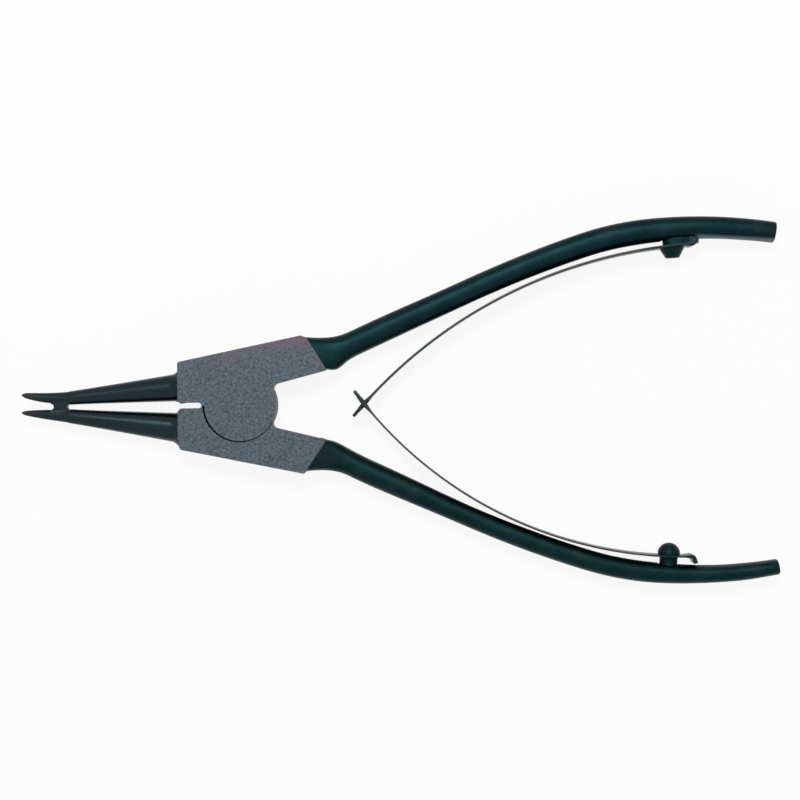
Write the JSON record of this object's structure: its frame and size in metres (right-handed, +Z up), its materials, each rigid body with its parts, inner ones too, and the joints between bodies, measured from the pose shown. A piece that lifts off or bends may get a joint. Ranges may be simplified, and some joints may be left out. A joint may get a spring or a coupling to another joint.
{
  "type": "circlip pliers",
  "caption": "External circlip pliers with straight tapered jaws, a riveted half-lap head, bowed bar handles and a crossed two-leaf return spring.",
  "frame": {"origin": "on the pivot axis, in the lower ground face of the head, on which the tool lies", "axes": "+X from the pivot towards the handles, +Y towards the lever whose disc is on top, +Z up along the pivot"},
  "size_m": [0.1798, 0.0866, 0.0095],
  "materials": {
    "black_steel": "blackened forged steel, satin",
    "ground_steel": "ground, dull",
    "spring_steel": "tempered strip, dull"
  },
  "bodies": {
    "lower_lever": {"lower_lever": "black_steel", "joint_rivet": "ground_steel", "lower_spring_leaf": "spring_steel", "lower_spring_spacer": "black_steel", "lower_spring_rivet": "black_steel"},
    "upper_lever": {"upper_lever": "black_steel", "upper_spring_leaf": "spring_steel", "upper_spring_spacer": "black_steel", "upper_spring_rivet": "black_steel"}
  },
  "joints": [
    {"name": "plier_pivot", "type": "hinge", "parent": "lower_lever", "child": "upper_lever", "pos_m": [0, 0, 0.00475], "axis": [0, 0, -1], "range_deg": [0, 28], "stiffness_Nm_per_rad": 1, "springref_deg": -14.32, "deforming": ["upper_spring_leaf", "lower_spring_leaf"]}
  ]
}
